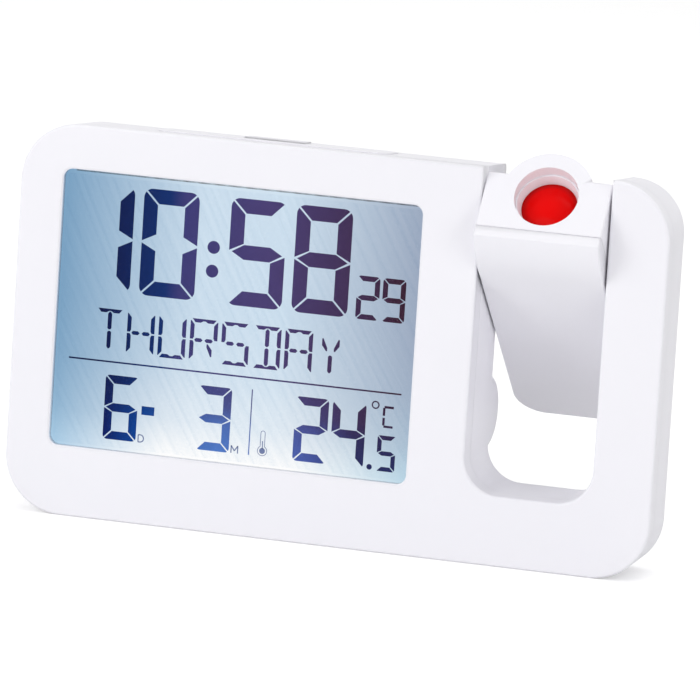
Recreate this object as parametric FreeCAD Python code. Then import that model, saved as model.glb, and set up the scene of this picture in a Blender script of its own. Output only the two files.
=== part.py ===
import FreeCAD, Part
import math
import os
from FreeCAD import Vector

# Projection alarm clock: a standing casing with a large display on the left and an open-topped
# slot on the right, in which a flip-up projector arm turns. Millimetres. Everything is drawn from
# the casing's lower left front corner, x to the right, y to the rear and z up, and is moved on
# writing so that the middle of the base is the origin.

# Casing
casing_height = 97.5
casing_depth = 21.5
corner_radius = 14.5
draft_inset = 1.7
wall = 2.0
seam_depth = 5.5
front_round = 0.7
rear_round = 1.4
seam_groove_width = 0.3
seam_groove_depth = 0.4

# Slot for the arm, open at the top
slot_floor = 17.4
slot_corner = 9.0
upright_width = 15.2

# Display window and what lies behind it
window_left = 11.0
window_bottom = 17.5
window_to_slot = 14.45
window_below_top = 11.1
window_corner = 2.4
window_bevel = 0.5
window_gap = 0.25
window_recess = 0.55
window_flange = 1.3
window_flange_thickness = 1.0
lcd_thickness = 2.2
guide_thickness = 3.0
guide_margin = 0.7
zebra_height = 2.4
zebra_side_margin = 3.0
tray_wall = 1.0
tray_back = 0.8
board_thickness = 1.6
led_width = 3.0
led_depth = 1.6
led_count = 3
seat_gap = 0.1

# Main circuit board
board_side_gap = 0.8
board_left = 15.0
board_bottom = 6.0
board_top_below_tray = 1.8
board_screw_height = 9.5
board_screw_inset = 10.0
board_boss_radius = 2.6

# Screws that close the casing, and their bosses
screw_shank_radius = 1.2
screw_fit = 0.05
screw_head_radius = 2.5
screw_head_height = 1.8
screw_engagement = 5.0
boss_radius = 2.8
boss_top = 9.0
post_radius = 4.1
pocket_radius = 2.9
pocket_floor = 14.0
left_boss_inset = 10.0
top_boss_inset = 18.0
boss_above_base = 9.0
boss_below_top = 5.9
slot_boss_gap = 8.9
upright_boss_heights = (20.0, 58.0)

# Battery bay: two AA cells end to end in a half-round hump on the back
cell_radius = 7.25
cell_length = 50.5
cell_room = 0.95
cell_nub_radius = 2.7
cell_nub_height = 1.2
bay_axis_height = 33.9
hump_wall = 1.8
hump_left = 5.0
hump_end_round = 3.0
bay_front_wall = 1.2
bay_end_wall = 1.8
spring_length = 6.2
spring_radius = 3.2
spring_wire_radius = 0.4
spring_turns = 4
contact_thickness = 0.4
contact_side = 11.0
contact_bump = 0.8
door_margin = 5.0
door_rise = 1.5
door_gap = 0.15
door_rib_count = 5
door_rib_pitch = 2.2
door_rib_height = 0.4

# Snooze bar in the top
snooze_left = 31.7
snooze_length = 59.6
snooze_width = 11.0
snooze_rise = 0.3
snooze_corner = 3.0
snooze_gap = 0.2
snooze_edge_round = 0.25
snooze_flange = 1.0
snooze_travel = 1.2
snooze_pad_length = 15.6
snooze_pad_width = 5.0
snooze_pad_rise = 0.4

# Buttons in the back
button_names = ("button_set", "button_up", "button_down", "button_alarm", "button_light")
button_radius = 3.0
button_rise = 0.9
button_gap = 0.15
button_flange = 0.8
button_travel = 1.0
button_row_above_hump = 12.0
button_first_left = 22.0
button_pitch = 13.0
stem_radius = 1.5
switch_side = 6.0
switch_height = 4.4
well_gap = 0.3
well_depth = 2.2

# Slide switch for the lamp of the projector
slider_right_of_buttons = 16.0
slider_travel = 3.0
slider_width = 2.6
slider_height = 3.2
slider_cap_rise = 1.2
slider_gap = 0.2
slider_plate_margin = 1.2
slider_plate_thickness = 1.1

# Sounder, power inlet and small parts on the board
sounder_radius = 8.5
sounder_thickness = 2.4
sounder_to_slot = 29.4
sound_hole_radius = 0.9
sound_hole_pitch = 3.4
inlet_bore_radius = 1.85
inlet_pin_radius = 0.6
inlet_side = 8.0
inlet_to_slot = 37.4
inlet_height = 15.0
chip_radius = 7.0
chip_rise = 1.6
chip_left = 36.0
capacitor_radius = 2.5
capacitor_length = 6.0
capacitor_lefts = (63.0, 70.0)
crystal_radius = 1.0
crystal_length = 6.0
thermistor_left = 22.0
press_rib_radius = 2.0
press_rib_left = 42.0
press_rib_to_slot = 17.4

# Projector arm, drawn folded into the slot
arm_side_gap = 0.5
arm_tail_room = 4.9
arm_thickness = 20.5
arm_tail_corner = 7.5
arm_wall = 1.8
arm_front_below_top = 1.7
arm_round_below_top = 13.0
arm_round_radius = 23.0
lens_face_slope = 5.73
arm_edge_round = 0.45
arm_low_screw_rise = 8.7
arm_high_screw_drop = 49.8
arm_boss_radius = 3.0
arm_boss_top = 8.0
arm_pocket_floor = 14.0

# Hinge of the arm
hinge_depth = 13.3
hinge_below_top = 19.9
rest_tilt = 48.4
pivot_radius = 4.0
pivot_bore_radius = 2.2
pivot_fit = 0.05
pivot_flange_radius = 6.0
pivot_flange_thickness = 1.2
pivot_boss_radius = 6.0
pivot_boss_length = 1.2
washer_thickness = 0.7
washer_gap = 0.1

# Optics of the arm, measured down from the lens face along the barrel
barrel_depth = 15.2
barrel_room = 0.6
barrel_side_room = 4.0
barrel_wall = 1.8
barrel_end_round = 3.0
guide_bore_radius = 7.95
guide_wall = 1.35
guide_tube_length = 11.6
cell_fit = 0.05
cell_start = 2.4
cell_end = 17.6
cell_wall = 1.0
cell_lip = 0.35
lens_seat = 4.9
lens_crown = 1.3
lens_edge = 1.5
wheel_start = 12.0
wheel_thickness = 4.0
wheel_rise = 0.6
wheel_room = 0.35
wheel_ridges = 48
wheel_groove_radius = 0.42
tube_start = 16.4
tube_end = 40.0
tube_room = 0.1
tube_wall = 1.5
shelf_start = 31.6
shelf_thickness = 1.4
shelf_bore_radius = 5.5
slide_corner_room = 0.24
slide_thickness = 1.6
condenser_thickness = 3.0
lamp_radius = 2.5
lamp_height = 3.4
lead_radius = 0.9
lead_side_gap = 1.0
lead_block_side = 5.0

# Worked out from the sizes above. Two cells in a row set where the slot starts, and the lens
# barrel sets its width.
hump_radius = cell_radius + cell_room + hump_wall
bay_left = hump_left + bay_end_wall
cells_right = bay_left + contact_thickness + spring_length + 2 * cell_length
bay_right = cells_right + contact_bump + contact_thickness
slot_left = bay_right + bay_end_wall
guide_tube_radius = guide_bore_radius + guide_wall
barrel_radius = guide_tube_radius + barrel_room + barrel_wall
tube_bore_radius = barrel_radius - barrel_wall - tube_room - tube_wall
slide_side = (tube_bore_radius - slide_corner_room) * math.sqrt(2)
wheel_radius = barrel_radius + wheel_rise
slot_width = 2 * (barrel_radius + barrel_side_room + arm_side_gap)
slot_right = slot_left + slot_width
slot_middle = slot_left + slot_width / 2
casing_width = slot_right + upright_width
window_right = slot_left - window_to_slot
window_top = casing_height - window_below_top
rear_inside = casing_depth - wall
lcd_front = wall + window_flange_thickness
lcd_rear = lcd_front + lcd_thickness
guide_rear = lcd_rear + guide_thickness
board_front = guide_rear + tray_back
board_rear = board_front + board_thickness
stack_left = window_left - window_flange
stack_right = window_right + window_flange
stack_bottom = window_bottom - window_flange
stack_top = window_top + window_flange
tray_margin = seat_gap + tray_wall
board_right = stack_right - board_side_gap
board_top = stack_top + tray_margin - board_top_below_tray
guide_top = stack_top - zebra_height - guide_margin
hump_right = slot_left
bay_radius = hump_radius - hump_wall
bay_front = casing_depth - bay_radius
button_row_height = bay_axis_height + hump_radius + button_row_above_hump
button_lefts = [button_first_left + i * button_pitch for i in range(len(button_names))]
slider_left = button_lefts[-1] + slider_right_of_buttons
sounder_left = slot_left - sounder_to_slot
sounder_height = (button_row_height + casing_height - wall) / 2
inlet_left = slot_left - inlet_to_slot
small_parts_height = (button_row_height + board_top) / 2
press_rib_lefts = (press_rib_left, slot_left - press_rib_to_slot)
arm_left = slot_left + arm_side_gap
arm_right = slot_right - arm_side_gap
arm_tail_height = slot_floor + arm_tail_room
arm_front_height = casing_height - arm_front_below_top
arm_round_start = casing_height - arm_round_below_top
arm_screw_heights = (arm_tail_height + arm_low_screw_rise, arm_front_height - arm_high_screw_drop)
hinge_height = casing_height - hinge_below_top
slope = math.tan(math.radians(lens_face_slope))
x_axis = Vector(1, 0, 0)
y_axis = Vector(0, 1, 0)
z_axis = Vector(0, 0, 1)


def box(x0, y0, z0, x1, y1, z1):
    return Part.makeBox(x1 - x0, y1 - y0, z1 - z0, Vector(x0, y0, z0))


def rod(start, axis, radius, length):
    return Part.makeCylinder(radius, length, start, axis)


def ring(start, axis, outer, inner, length):
    return rod(start, axis, outer, length).cut(rod(start, axis, inner, length))


def join(shapes):
    return shapes[0].fuse(shapes[1:]).removeSplitter()


def rounded_outline(x0, z0, x1, z1, radii, depth):
    """An upright rectangle with rounded corners, given from the lower left one round."""
    half = math.sqrt(0.5)
    corners = ((x0, z0, 1, 1), (x1, z0, -1, 1), (x1, z1, -1, -1), (x0, z1, 1, -1))
    points = []
    for (x, z, to_x, to_z), radius in zip(corners, radii):
        centre = Vector(x + to_x * radius, depth, z + to_z * radius)
        on_side = centre - Vector(to_x * radius, 0, 0)
        on_level = centre - Vector(0, 0, to_z * radius)
        middle = centre - Vector(to_x * radius * half, 0, to_z * radius * half)
        ends = [on_side, middle, on_level] if to_x == to_z else [on_level, middle, on_side]
        points.append((radius, ends))
    edges = []
    for i, (radius, ends) in enumerate(points):
        if radius > 0:
            edges.append(Part.Arc(*ends).toShape())
        edges.append(Part.LineSegment(ends[2], points[(i + 1) % 4][1][0]).toShape())
    return Part.Wire(edges)


def rounded_plate(x0, z0, x1, z1, radii, y0, y1):
    face = Part.Face(rounded_outline(x0, z0, x1, z1, radii, y0))
    return face.extrude(Vector(0, y1 - y0, 0))


def edges_at_depth(shape, depth):
    """The edges that lie in one upright plane."""
    return [e for e in shape.Edges if all(abs(v.Y - depth) < 1e-4 for v in e.Vertexes)
            and abs(e.BoundBox.YLength) < 1e-3]


def casing_outline(depth, inset):
    """The casing narrows towards the back, but its base stays flat."""
    side = inset + draft_inset * depth / casing_depth
    radius = corner_radius - side
    return rounded_outline(side, inset, casing_width - side, casing_height - side,
                           [radius] * 4, depth)


def casing_block(inset, front, rear):
    return Part.makeLoft([casing_outline(front, inset), casing_outline(rear, inset)], True, True)


def slot_space(grow):
    return rounded_plate(slot_left - grow, slot_floor - grow, slot_right + grow,
                         2 * casing_height, [slot_corner + grow] * 2 + [0, 0],
                         -casing_depth, 2 * casing_depth)


def casing_shell():
    """The closed, hollow casing, before it is parted at its seam."""
    block = casing_block(0, 0, casing_depth)
    block = block.makeFillet(rear_round, edges_at_depth(block, casing_depth))
    outside = block.cut(slot_space(0))
    outside = outside.makeFillet(front_round, edges_at_depth(outside, 0))
    hollow = casing_block(wall, wall, rear_inside).cut(slot_space(wall))
    return outside.cut(hollow)


def seam_groove():
    """A narrow shadow line round the rear half, right behind the seam."""
    end = seam_depth + seam_groove_width
    band = casing_block(0, seam_depth, end).cut(slot_space(0))
    core = casing_block(seam_groove_depth, seam_depth, end).cut(slot_space(seam_groove_depth))
    return band.cut(core)


def casing_screw_places():
    top = casing_height - boss_below_top
    right = slot_left - slot_boss_gap
    upright = (slot_right + casing_width) / 2
    places = [(left_boss_inset, boss_above_base), (right, boss_above_base)]
    places += [(top_boss_inset, top), (right, top)]
    places += [(upright, height) for height in upright_boss_heights]
    return places


def board_screw_places():
    low = board_left + board_screw_inset
    high = board_right - board_screw_inset
    return [(x, board_screw_height) for x in (low, (low + high) / 2, high)]


def front_casing():
    """Front half with the display opening and the bosses that take all the screws."""
    big = 2 * casing_width
    shape = casing_shell().common(box(-big, -big, -big, big, seam_depth, big))
    opening = rounded_plate(window_left, window_bottom, window_right, window_top,
                            [window_corner] * 4, -1, wall + 1)
    bevel = Part.makeLoft([window_outline(-window_bevel, 0), window_outline(0, window_bevel)],
                          True, True)
    bosses = []
    pilots = []
    for x, z in casing_screw_places():
        bosses.append(rod(Vector(x, wall / 2, z), y_axis, boss_radius, boss_top - wall / 2))
        pilots.append(rod(Vector(x, wall, z), y_axis, screw_shank_radius + screw_fit, casing_depth))
    for x, z in board_screw_places():
        start = Vector(x, wall / 2, z)
        bosses.append(rod(start, y_axis, board_boss_radius, board_front - wall / 2))
        pilots.append(rod(Vector(x, wall, z), y_axis, screw_shank_radius + screw_fit, casing_depth))
    return join([shape.cut([opening, bevel])] + bosses).cut(pilots)


def window_outline(inset, depth):
    """The display opening drawn in by inset."""
    return rounded_outline(window_left + inset, window_bottom + inset, window_right - inset,
                           window_top - inset, [window_corner - inset] * 4, depth)


def hump_body(radius, left, right, end_round):
    body = rod(Vector(left, casing_depth, bay_axis_height), x_axis, radius, right - left)
    if end_round > 0:
        rims = [e for e in body.Edges if e.BoundBox.XLength < 1e-6]
        body = body.makeFillet(end_round, rims)
    return body


def door_space(gap):
    """Where the battery door lies: the rear of the hump, between its two ends."""
    big = casing_depth + 2 * hump_radius
    left = hump_left + door_margin + gap
    right = hump_right - door_margin - gap
    return box(left, casing_depth + door_rise + gap, bay_axis_height - big,
               right, big, bay_axis_height + big)


def battery_bay_hollow():
    rear = rod(Vector(bay_left, casing_depth, bay_axis_height), x_axis, bay_radius,
               bay_right - bay_left)
    front = box(bay_left, bay_front, bay_axis_height - bay_radius,
                bay_right, casing_depth, bay_axis_height + bay_radius)
    return rear.fuse(front)


def sound_holes():
    holes = [rod(Vector(sounder_left, rear_inside - 1, sounder_height), y_axis,
                 sound_hole_radius, wall + 2)]
    for i in range(6):
        angle = math.radians(60 * i)
        x = sounder_left + sound_hole_pitch * math.cos(angle)
        z = sounder_height + sound_hole_pitch * math.sin(angle)
        holes.append(rod(Vector(x, rear_inside - 1, z), y_axis, sound_hole_radius, wall + 2))
    return holes


def snooze_space(gap, low, high):
    left = snooze_left - gap
    front = snooze_front() - gap
    plate = rounded_plate(left, 0, left + snooze_length + 2 * gap, snooze_width + 2 * gap,
                          [snooze_corner + gap] * 4, 0, high - low)
    plate.rotate(Vector(left, 0, 0), x_axis, 90)
    plate.translate(Vector(0, front + snooze_width + 2 * gap, low))
    return plate


def snooze_front():
    """The bar lies in the rear half's top, midway between the seam and the back."""
    return (seam_depth + rear_inside - snooze_width) / 2 + seam_groove_width / 2


def rear_casing():
    """Rear half with the battery hump, screw posts and every opening in the back."""
    big = 2 * casing_width
    shape = casing_shell().common(box(-big, seam_depth, -big, big, big, big))
    shape = shape.cut(seam_groove())
    behind = box(hump_left, casing_depth - wall / 2, 0, hump_right, big, casing_height)
    adds = [hump_body(hump_radius, hump_left, hump_right, hump_end_round).common(behind)]
    adds.append(box(hump_left, bay_front - bay_front_wall, bay_axis_height - bay_radius - bay_front_wall,
                    hump_right - wall / 2, rear_inside + wall / 2,
                    bay_axis_height + bay_radius + bay_front_wall))
    cuts = [battery_bay_hollow(), door_space(0)]
    for x, z in casing_screw_places():
        adds.append(rod(Vector(x, boss_top, z), y_axis, post_radius, rear_inside + wall / 2 - boss_top))
        cuts.append(rod(Vector(x, pocket_floor, z), y_axis, pocket_radius, casing_depth))
        cuts.append(rod(Vector(x, boss_top - 1, z), y_axis, screw_shank_radius + 0.3, casing_depth))
    for x in press_rib_lefts:
        rib_height = board_top - 2 * press_rib_radius
        adds.append(rod(Vector(x, board_rear, rib_height), y_axis, press_rib_radius,
                        rear_inside + wall / 2 - board_rear))
    for x in button_lefts:
        cuts.append(rod(Vector(x, rear_inside - 1, button_row_height), y_axis,
                        button_radius + button_gap, wall + 2))
    cuts.append(box(slider_left - slider_width / 2 - slider_gap, rear_inside - 1,
                    button_row_height - slider_height / 2 - slider_gap,
                    slider_left + slider_width / 2 + slider_travel + slider_gap, casing_depth + 1,
                    button_row_height + slider_height / 2 + slider_gap))
    cuts += sound_holes()
    cuts.append(rod(Vector(inlet_left, rear_inside - 1, inlet_height), y_axis,
                    inlet_bore_radius + 0.4, wall + 2))
    cuts.append(snooze_space(snooze_gap, casing_height - 3 * wall, casing_height + wall))
    cuts.append(rod(Vector(slot_left - 2 * wall, hinge_depth, hinge_height), x_axis,
                    pivot_radius + pivot_fit, slot_width + 4 * wall))
    return join([shape] + adds).cut(cuts)


def screw(x, z, head_depth, length):
    """A pan-head screw put in from the back, with its head's underside at head_depth."""
    head = rod(Vector(x, head_depth, z), y_axis, screw_head_radius, screw_head_height)
    rim = [e for e in head.Edges if abs(e.BoundBox.YMin - head_depth - screw_head_height) < 1e-3]
    head = head.makeFillet(0.5, rim)
    shank = rod(Vector(x, head_depth - length, z), y_axis, screw_shank_radius, length)
    arm = 0.35 * screw_head_radius
    cross = []
    for wide, tall in ((arm * 2, 0.5), (0.5, arm * 2)):
        cross.append(box(x - wide / 2, head_depth + screw_head_height - 0.9, z - tall / 2,
                         x + wide / 2, head_depth + screw_head_height + 1, z + tall / 2))
    return head.fuse(shank).cut(cross)


def case_screws():
    length = pocket_floor - boss_top + screw_engagement
    return Part.makeCompound([screw(x, z, pocket_floor, length) for x, z in casing_screw_places()])


def board_screws():
    length = board_thickness + screw_engagement
    return Part.makeCompound([screw(x, z, board_rear, length) for x, z in board_screw_places()])


def display_window():
    """Clear plate: its front land fills the opening and its flange sits behind the front wall."""
    land = rounded_plate(window_left + window_gap, window_bottom + window_gap,
                         window_right - window_gap, window_top - window_gap,
                         [window_corner - window_gap] * 4, window_recess, wall)
    flange = box(stack_left, wall, stack_bottom, stack_right, lcd_front, stack_top)
    return join([land, flange])


def lcd_glass():
    return box(stack_left, lcd_front, stack_bottom, stack_right, lcd_rear, stack_top)


def light_guide():
    return box(stack_left + guide_margin, lcd_rear, window_bottom, stack_right - guide_margin,
               guide_rear, guide_top)


def backlight_leds():
    """Side-lighting lamps under the lower edge of the light guide."""
    leds = []
    span = (window_right - window_left) / (led_count + 1)
    for i in range(led_count):
        x = window_left + span * (i + 1) - led_width / 2
        leds.append(box(x, guide_rear - led_depth, stack_bottom, x + led_width, guide_rear,
                        window_bottom - seat_gap))
    return Part.makeCompound(leds)


def zebra_connector():
    """The rubber strip that joins the glass to the board through a slot in the tray."""
    return box(stack_left + zebra_side_margin, lcd_rear, stack_top - zebra_height,
               stack_right - zebra_side_margin, board_front, stack_top)


def lcd_tray():
    outer = box(stack_left - tray_margin, wall, stack_bottom - tray_margin,
                stack_right + tray_margin, board_front, stack_top + tray_margin)
    pocket = box(stack_left - seat_gap, wall - 1, stack_bottom - seat_gap,
                 stack_right + seat_gap, guide_rear, stack_top + seat_gap)
    strip = box(stack_left + zebra_side_margin - seat_gap, wall,
                stack_top - zebra_height - seat_gap,
                stack_right - zebra_side_margin + seat_gap, 2 * board_front, stack_top + seat_gap)
    return outer.cut([pocket, strip])


def main_board():
    plate = box(board_left, board_front, board_bottom, board_right, board_rear, board_top)
    holes = [rod(Vector(x, board_front - 1, z), y_axis, screw_shank_radius + screw_fit,
                 board_thickness + 2) for x, z in board_screw_places()]
    return plate.cut(holes)


def push_switch(x, z):
    """A square push switch on the board, with a round well that takes the button's stem."""
    half = switch_side / 2
    block = box(x - half, board_rear, z - half, x + half, board_rear + switch_height, z + half)
    well = rod(Vector(x, board_rear + switch_height - well_depth, z), y_axis,
               stem_radius + well_gap, well_depth + 1)
    return block.cut(well)


def button_switches():
    return Part.makeCompound([push_switch(x, button_row_height) for x in button_lefts])


def rear_button(x):
    """A round push button with a flange inside the back and a stem into its switch."""
    z = button_row_height
    flange_rear = rear_inside - button_gap
    flange_front = flange_rear - button_flange
    cap = rod(Vector(x, flange_front, z), y_axis, button_radius,
              casing_depth + button_rise - flange_front)
    rim = [e for e in cap.Edges if abs(e.BoundBox.YMin - casing_depth - button_rise) < 1e-3]
    cap = cap.makeFillet(0.6, rim)
    flange = rod(Vector(x, flange_front, z), y_axis, button_radius + button_flange, button_flange)
    stem_tip = board_rear + switch_height - well_depth + button_travel + well_gap / 2
    stem = rod(Vector(x, stem_tip, z), y_axis, stem_radius, flange_front - stem_tip)
    return join([cap, flange, stem])


def snooze_switch_place():
    x = snooze_left + snooze_length / 2
    return x, board_rear + switch_side / 2, board_top + switch_height - 1


def snooze_switch():
    """An upright switch on the top edge of the board, under the middle of the bar."""
    x, y, top = snooze_switch_place()
    half = switch_side / 2
    block = box(x - half, board_rear, top - 2 * switch_height, x + half, y + half, top)
    well = rod(Vector(x, y, top - well_depth), z_axis, stem_radius + well_gap, well_depth + 1)
    return block.cut(well)


def snooze_bar():
    """The long bar in the top with a raised pad, a flange under the roof and a switch stem."""
    roof_inside = casing_height - wall - draft_inset
    flange_top = roof_inside - snooze_gap
    flange_low = flange_top - snooze_flange
    cap = snooze_space(0, flange_low, casing_height + 2 * snooze_rise)
    # Its top slopes with the roof, a little above it
    cap = cap.common(casing_block(-snooze_rise, 0, casing_depth))
    rim = [e for e in cap.Edges if e.BoundBox.ZMin > roof_inside]
    cap = cap.makeFillet(snooze_edge_round, rim)
    half_length = snooze_pad_length / 2
    half_width = snooze_pad_width / 2
    middle = snooze_left + snooze_length / 2
    depth = snooze_front() + snooze_width / 2
    pad = box(middle - half_length, depth - half_width, roof_inside,
              middle + half_length, depth + half_width, casing_height)
    pad = pad.common(casing_block(-snooze_rise - snooze_pad_rise, 0, casing_depth))
    flange = snooze_space(snooze_flange, flange_low, flange_top)
    x, y, top = snooze_switch_place()
    tip = top - well_depth + snooze_travel + well_gap
    stem = rod(Vector(x, y, tip), z_axis, stem_radius, flange_low - tip)
    return join([cap, pad, flange, stem])


def slide_switch():
    """The lamp switch: a block on the board with a groove that its slider runs in."""
    left = slider_left - slider_width
    right = slider_left + slider_travel + slider_width
    half = switch_side / 2
    block = box(left, board_rear, button_row_height - half, right, board_rear + switch_height,
                button_row_height + half)
    groove = box(slider_left - slider_width / 2 - well_gap, board_rear + switch_height - well_depth,
                 button_row_height - stem_radius / 2 - well_gap,
                 slider_left + slider_width / 2 + slider_travel + well_gap,
                 board_rear + switch_height + 1, button_row_height + stem_radius / 2 + well_gap)
    return block.cut(groove)


def slide_knob():
    z = button_row_height
    plate_rear = rear_inside - slider_gap
    plate_front = plate_rear - slider_plate_thickness
    half_x = slider_width / 2
    half_z = slider_height / 2
    margin = slider_plate_margin
    knob = box(slider_left - half_x, plate_rear, z - half_z, slider_left + half_x,
               casing_depth + slider_cap_rise, z + half_z)
    plate = box(slider_left - half_x - margin, plate_front, z - half_z - margin,
                slider_left + half_x + margin, plate_rear, z + half_z + margin)
    tip = board_rear + switch_height - well_depth + well_gap
    blade = box(slider_left - half_x, tip, z - stem_radius / 2,
                slider_left + half_x, plate_front, z + stem_radius / 2)
    return join([knob, plate, blade])


def sounder():
    return rod(Vector(sounder_left, rear_inside - sounder_thickness, sounder_height), y_axis,
               sounder_radius, sounder_thickness)


def power_inlet():
    """Inlet for a mains adaptor's thin plug, set against the inside of the back."""
    half = inlet_side / 2
    block = box(inlet_left - half, board_rear, inlet_height - half,
                inlet_left + half, rear_inside, inlet_height + half)
    bore = rod(Vector(inlet_left, board_rear + 1.5, inlet_height), y_axis, inlet_bore_radius,
               casing_depth)
    pin = rod(Vector(inlet_left, board_rear + 1, inlet_height), y_axis, inlet_pin_radius,
              rear_inside - board_rear - 2)
    return block.cut(bore).fuse(pin)


def control_chip():
    """The drop of black resin that covers the chip."""
    sphere_radius = (chip_radius ** 2 + chip_rise ** 2) / (2 * chip_rise)
    centre = Vector(chip_left, board_rear + chip_rise - sphere_radius, small_parts_height)
    dome = Part.makeSphere(sphere_radius, centre)
    reach = 2 * sphere_radius
    return dome.common(box(chip_left - reach, board_rear, small_parts_height - reach,
                           chip_left + reach, board_rear + reach, small_parts_height + reach))


def capacitors():
    cans = []
    for x in capacitor_lefts:
        can = rod(Vector(x, board_rear, small_parts_height), y_axis, capacitor_radius,
                  capacitor_length)
        cans.append(can.makeFillet(0.4, [e for e in can.Edges if e.BoundBox.YMin > board_rear + 1]))
    return Part.makeCompound(cans)


def quartz_crystal():
    x = (chip_left + capacitor_lefts[0]) / 2
    low = small_parts_height - crystal_length
    return rod(Vector(x, board_rear + crystal_radius, low), z_axis, crystal_radius, crystal_length)


def thermistor():
    """A bead on two legs that senses the room's temperature."""
    bead_radius = 1.3
    leg_radius = 0.3
    bead = Part.makeSphere(bead_radius, Vector(thermistor_left, board_rear + 4, small_parts_height))
    legs = [rod(Vector(thermistor_left + side * 0.7, board_rear, small_parts_height), y_axis,
                leg_radius, 4) for side in (-1, 1)]
    return join([bead] + legs)


def battery_cells():
    """Two cells end to end, each with the nub of its positive end to the right."""
    cells = []
    for i in range(2):
        start = bay_left + contact_thickness + spring_length + i * cell_length
        centre = Vector(start, casing_depth, bay_axis_height)
        can = rod(centre, x_axis, cell_radius, cell_length - cell_nub_height)
        can = can.makeFillet(0.6, [e for e in can.Edges if e.BoundBox.XLength < 1e-6])
        nub = rod(centre + Vector(cell_length - cell_nub_height - 0.5, 0, 0), x_axis,
                  cell_nub_radius, cell_nub_height + 0.5)
        cells.append(can.fuse(nub))
    return cells


def battery_spring():
    """The coil that presses the cells together, on its plate at the bay's left end."""
    half = contact_side / 2
    middle = Vector(bay_left, casing_depth, bay_axis_height)
    plate = box(bay_left, casing_depth - half, bay_axis_height - half,
                bay_left + contact_thickness, casing_depth + half, bay_axis_height + half)
    run = spring_length - 2 * spring_wire_radius
    helix = Part.makeHelix(run / spring_turns, run, spring_radius)
    section = Part.Wire(Part.makeCircle(spring_wire_radius, Vector(spring_radius, 0, 0),
                                        Vector(0, 1, 0)))
    coil = Part.Wire(helix.Edges).makePipeShell([section], True, True)
    coil.rotate(Vector(0, 0, 0), y_axis, 90)
    coil.translate(middle + Vector(contact_thickness + spring_wire_radius * 0.9, 0, 0))
    return plate.fuse(coil)


def battery_contact():
    """The plate with a pressed bump that the last cell's nub meets."""
    half = contact_side / 2
    plate = box(bay_right - contact_thickness, casing_depth - half, bay_axis_height - half,
                bay_right, casing_depth + half, bay_axis_height + half)
    bump = rod(Vector(cells_right, casing_depth, bay_axis_height), x_axis, cell_nub_radius,
               contact_bump + contact_thickness / 2)
    return plate.fuse(bump)


def battery_door():
    """The rear of the hump as a curved cover, with grip ribs near its right end."""
    shape = hump_body(hump_radius, hump_left, hump_right, 0)
    shape = shape.cut(hump_body(bay_radius, hump_left - 1, hump_right + 1, 0))
    shape = shape.common(door_space(door_gap))
    ribs = []
    last = hump_right - door_margin - 4 * door_rib_pitch
    for i in range(door_rib_count):
        centre = Vector(last - i * door_rib_pitch, casing_depth, bay_axis_height)
        rib = Part.makeTorus(hump_radius, door_rib_height, centre, x_axis)
        reach = hump_radius / 2
        ribs.append(rib.common(box(centre.x - 2, casing_depth, centre.z - reach,
                                   centre.x + 2, casing_depth + 2 * hump_radius, centre.z + reach)))
    return join([shape] + ribs)


def lens_face_height(depth):
    """Height of the sloping lens face at a depth behind the folded arm's front."""
    return arm_front_height + slope * (depth - arm_round_depth())


def arm_round_depth():
    rise = arm_front_height - arm_round_start
    return arm_round_radius - math.sqrt(arm_round_radius ** 2 - rise ** 2)


def barrel_top():
    return lens_face_height(barrel_depth)


def barrel_point(down):
    """A point on the barrel's axis, that far below the lens face."""
    return Vector(slot_middle, barrel_depth, barrel_top() - down)


def arm_profile(inset):
    """Side view of the folded arm: flat front that curves back under the sloping lens face."""
    radius = arm_round_radius - inset
    centre_y = arm_round_radius
    lift = inset / math.cos(math.radians(lens_face_slope))
    level = lens_face_height(0) - lift
    # Where the rounded front meets the lens face, on a circle about (centre_y, arm_round_start)
    a = 1 + slope ** 2
    b = slope * (level - arm_round_start) - centre_y
    c = centre_y ** 2 + (level - arm_round_start) ** 2 - radius ** 2
    meet_y = (-b - math.sqrt(b * b - a * c)) / a
    meet_z = level + slope * meet_y
    turn = math.atan2(meet_z - arm_round_start, centre_y - meet_y) / 2
    middle = (centre_y - radius * math.cos(turn), arm_round_start + radius * math.sin(turn))
    rear = arm_thickness - inset
    low = arm_tail_height + inset
    corners = [(inset, arm_round_start), middle, (meet_y, meet_z),
               (rear, level + slope * rear), (rear, low), (inset, low)]
    points = [Vector(arm_left + inset, y, z) for y, z in corners]
    edges = [Part.Arc(points[0], points[1], points[2]).toShape()]
    loop = points[2:] + [points[0]]
    edges += [Part.LineSegment(p, q).toShape() for p, q in zip(loop, loop[1:])]
    return Part.Face(Part.Wire(edges))


def arm_block(inset):
    width = arm_right - arm_left - 2 * inset
    block = arm_profile(inset).extrude(Vector(width, 0, 0))
    tail = rounded_plate(arm_left + inset, arm_tail_height + inset, arm_right - inset,
                         2 * casing_height, [arm_tail_corner - inset] * 2 + [0, 0],
                         -casing_depth, 2 * casing_depth)
    return block.common(tail)


def below_lens_face(lowering):
    """Everything under the lens face's plane, lowered by that much."""
    big = 2 * casing_height
    top = lens_face_height(0) - lowering
    far = lens_face_height(big) - lowering
    points = [Vector(-big, 0, top), Vector(-big, big, far), Vector(-big, big, -big),
              Vector(-big, 0, -big), Vector(-big, 0, top)]
    return Part.Face(Part.makePolygon(points)).extrude(Vector(4 * big, 0, 0))


def arm_outside():
    """The arm's whole outer form: the block, and the round barrel standing out of its back."""
    block = arm_block(0)
    block = block.makeFillet(arm_edge_round, [e for e in block.Edges if e.Length > 1])
    bottom = barrel_point(tube_end + board_thickness + barrel_wall)
    length = barrel_top() + arm_thickness - bottom.z
    barrel = rod(bottom, z_axis, barrel_radius, length)
    rim = [e for e in barrel.Edges if e.BoundBox.ZMax < bottom.z + 1e-3]
    barrel = barrel.makeFillet(barrel_end_round, rim).common(below_lens_face(0))
    return block.fuse(barrel)


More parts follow.
